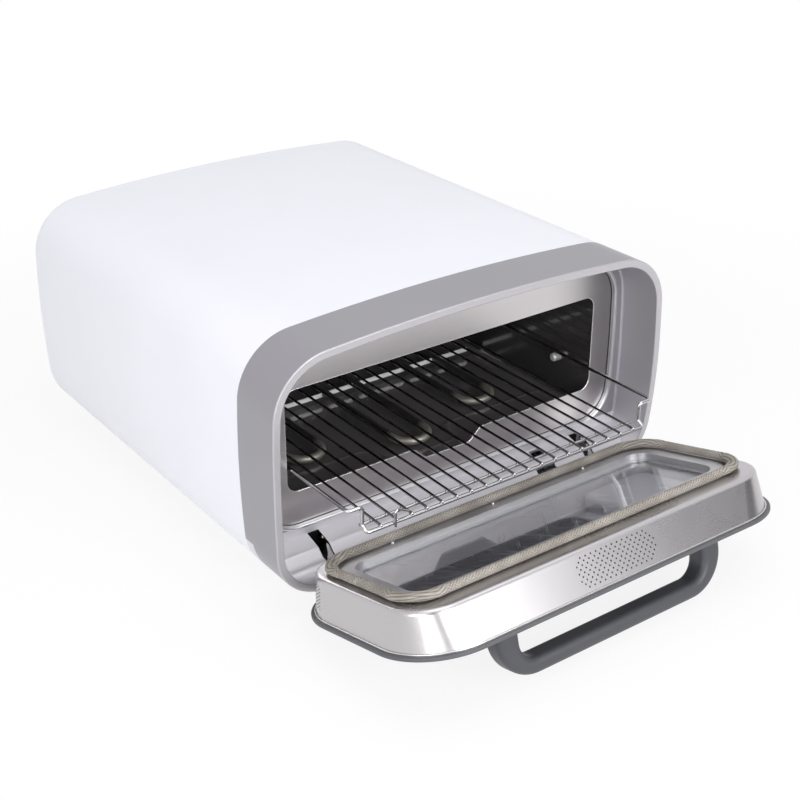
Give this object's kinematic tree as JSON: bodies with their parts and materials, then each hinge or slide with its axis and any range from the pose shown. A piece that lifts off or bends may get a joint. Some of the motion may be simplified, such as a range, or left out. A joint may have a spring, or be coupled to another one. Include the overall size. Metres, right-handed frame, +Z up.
{
  "type": "electric pizza oven",
  "caption": "Countertop electric pizza oven with a drop-down gasketed window door, a bow handle and a chrome wire rack that is drawn out as the door opens",
  "frame": {"origin": "Middle of the footprint of the oven with its door open, on the surface that its feet stand on", "axes": "+X to the right seen from the front, +Y from the door to the back, +Z up"},
  "size_m": [0.46, 0.7038, 0.27],
  "materials": {
    "white_enamel": "satin powder coat, faintly cool white",
    "ring_grey": "satin metallic grey coat",
    "brushed_panel": "fine brushed stainless steel",
    "pan_steel": "soft polished stainless steel",
    "door_rim_grey": "matte slate-grey coat",
    "cavity_enamel": "dark glossy enamel",
    "chrome_wire": "bright chrome plating",
    "bright_steel": "bright plated steel",
    "tube_steel": "oxidised steel sheath, satin",
    "hinge_steel": "blackened steel",
    "rail_steel": "galvanised sheet steel",
    "window_clear": "clear toughened glass",
    "window_smoked": "smoked toughened glass",
    "core_grey": "pale grey moulded plastic",
    "handle_slate": "matte slate-grey moulding",
    "gasket_braid": "khaki braided glass fibre",
    "blanket_wool": "pale glass wool",
    "board_green": "coated circuit board",
    "black_plastic": "black moulded plastic",
    "white_ceramic": "pale ceramic",
    "foot_rubber": "soft black rubber"
  },
  "bodies": {
    "oven": {"outer_shell": "white_enamel", "rear_panel": "white_enamel", "front_ring": "ring_grey", "front_panel": "brushed_panel", "cavity_liner": "cavity_enamel", "tube_supports": "bright_steel", "hinge_pin_left": "bright_steel", "hinge_pin_right": "bright_steel", "rear_panel_screws": "bright_steel", "foot_screws": "bright_steel", "rack_pegs": "bright_steel", "temperature_probe": "bright_steel", "lower_tube_left": "tube_steel", "lower_tube_middle": "tube_steel", "lower_tube_right": "tube_steel", "upper_tube_left": "tube_steel", "upper_tube_middle": "tube_steel", "upper_tube_right": "tube_steel", "hinge_bracket_left": "hinge_steel", "hinge_bracket_right": "hinge_steel", "chassis_rail_left": "rail_steel", "chassis_rail_right": "rail_steel", "insulation_blanket": "blanket_wool", "power_board": "board_green", "door_switch": "black_plastic", "fan_housing": "black_plastic", "cord_gland": "black_plastic", "thermal_cutout": "black_plastic", "tube_terminals": "white_ceramic", "front_foot_left": "foot_rubber", "front_foot_right": "foot_rubber", "rear_foot_left": "foot_rubber", "rear_foot_right": "foot_rubber"},
    "door": {"door_outer_panel": "door_rim_grey", "outer_glass": "window_smoked", "door_inner_pan": "pan_steel", "window_frame": "pan_steel", "inner_glass": "window_clear", "door_core": "core_grey", "door_gasket": "gasket_braid", "gasket_clips": "bright_steel", "door_handle": "handle_slate", "handle_screws": "bright_steel", "control_housing": "core_grey", "control_board": "board_green", "hinge_arm_left": "hinge_steel", "hinge_arm_right": "hinge_steel"},
    "rack": {"rack_frame": "chrome_wire", "rack_wires": "chrome_wire", "rack_cross_bars": "chrome_wire", "rack_hook": "chrome_wire"},
    "temperature_knob": {"temperature_knob": "handle_slate"},
    "timer_knob": {"timer_knob": "handle_slate"},
    "start_button": {"start_button": "handle_slate"},
    "fan": {"fan_rotor": "black_plastic"}
  },
  "joints": [
    {"name": "door_hinge", "type": "hinge", "parent": "oven", "child": "door", "pos_m": [0, -0.12885, 0.0302], "axis": [-1, 0, 0], "range_deg": [0, 74.77]},
    {"name": "rack_slide", "type": "slide", "parent": "oven", "child": "rack", "axis": [0, 1, 0], "range_m": [0, 0.1]},
    {"name": "temperature_turn", "type": "hinge", "parent": "door", "child": "temperature_knob", "pos_m": [0.129, -0.27803, 0.0506], "axis": [0, 0.2627, 0.9649], "range_deg": [0, 270]},
    {"name": "timer_turn", "type": "hinge", "parent": "door", "child": "timer_knob", "pos_m": [0.129, -0.21434, 0.03327], "axis": [0, 0.2627, 0.9649], "range_deg": [0, 270]},
    {"name": "start_push", "type": "slide", "parent": "door", "child": "start_button", "axis": [0, 0.2627, 0.9649], "range_m": [0, 0.0015], "stiffness_N_per_m": 800},
    {"name": "fan_spin", "type": "hinge", "parent": "oven", "child": "fan", "pos_m": [0.095, 0.33415, 0.152], "axis": [0, 1, 0], "continuous": true}
  ],
  "couplings": [
    {"joint": "rack_slide", "follows": "door_hinge", "m_per_rad": 0.076629}
  ]
}
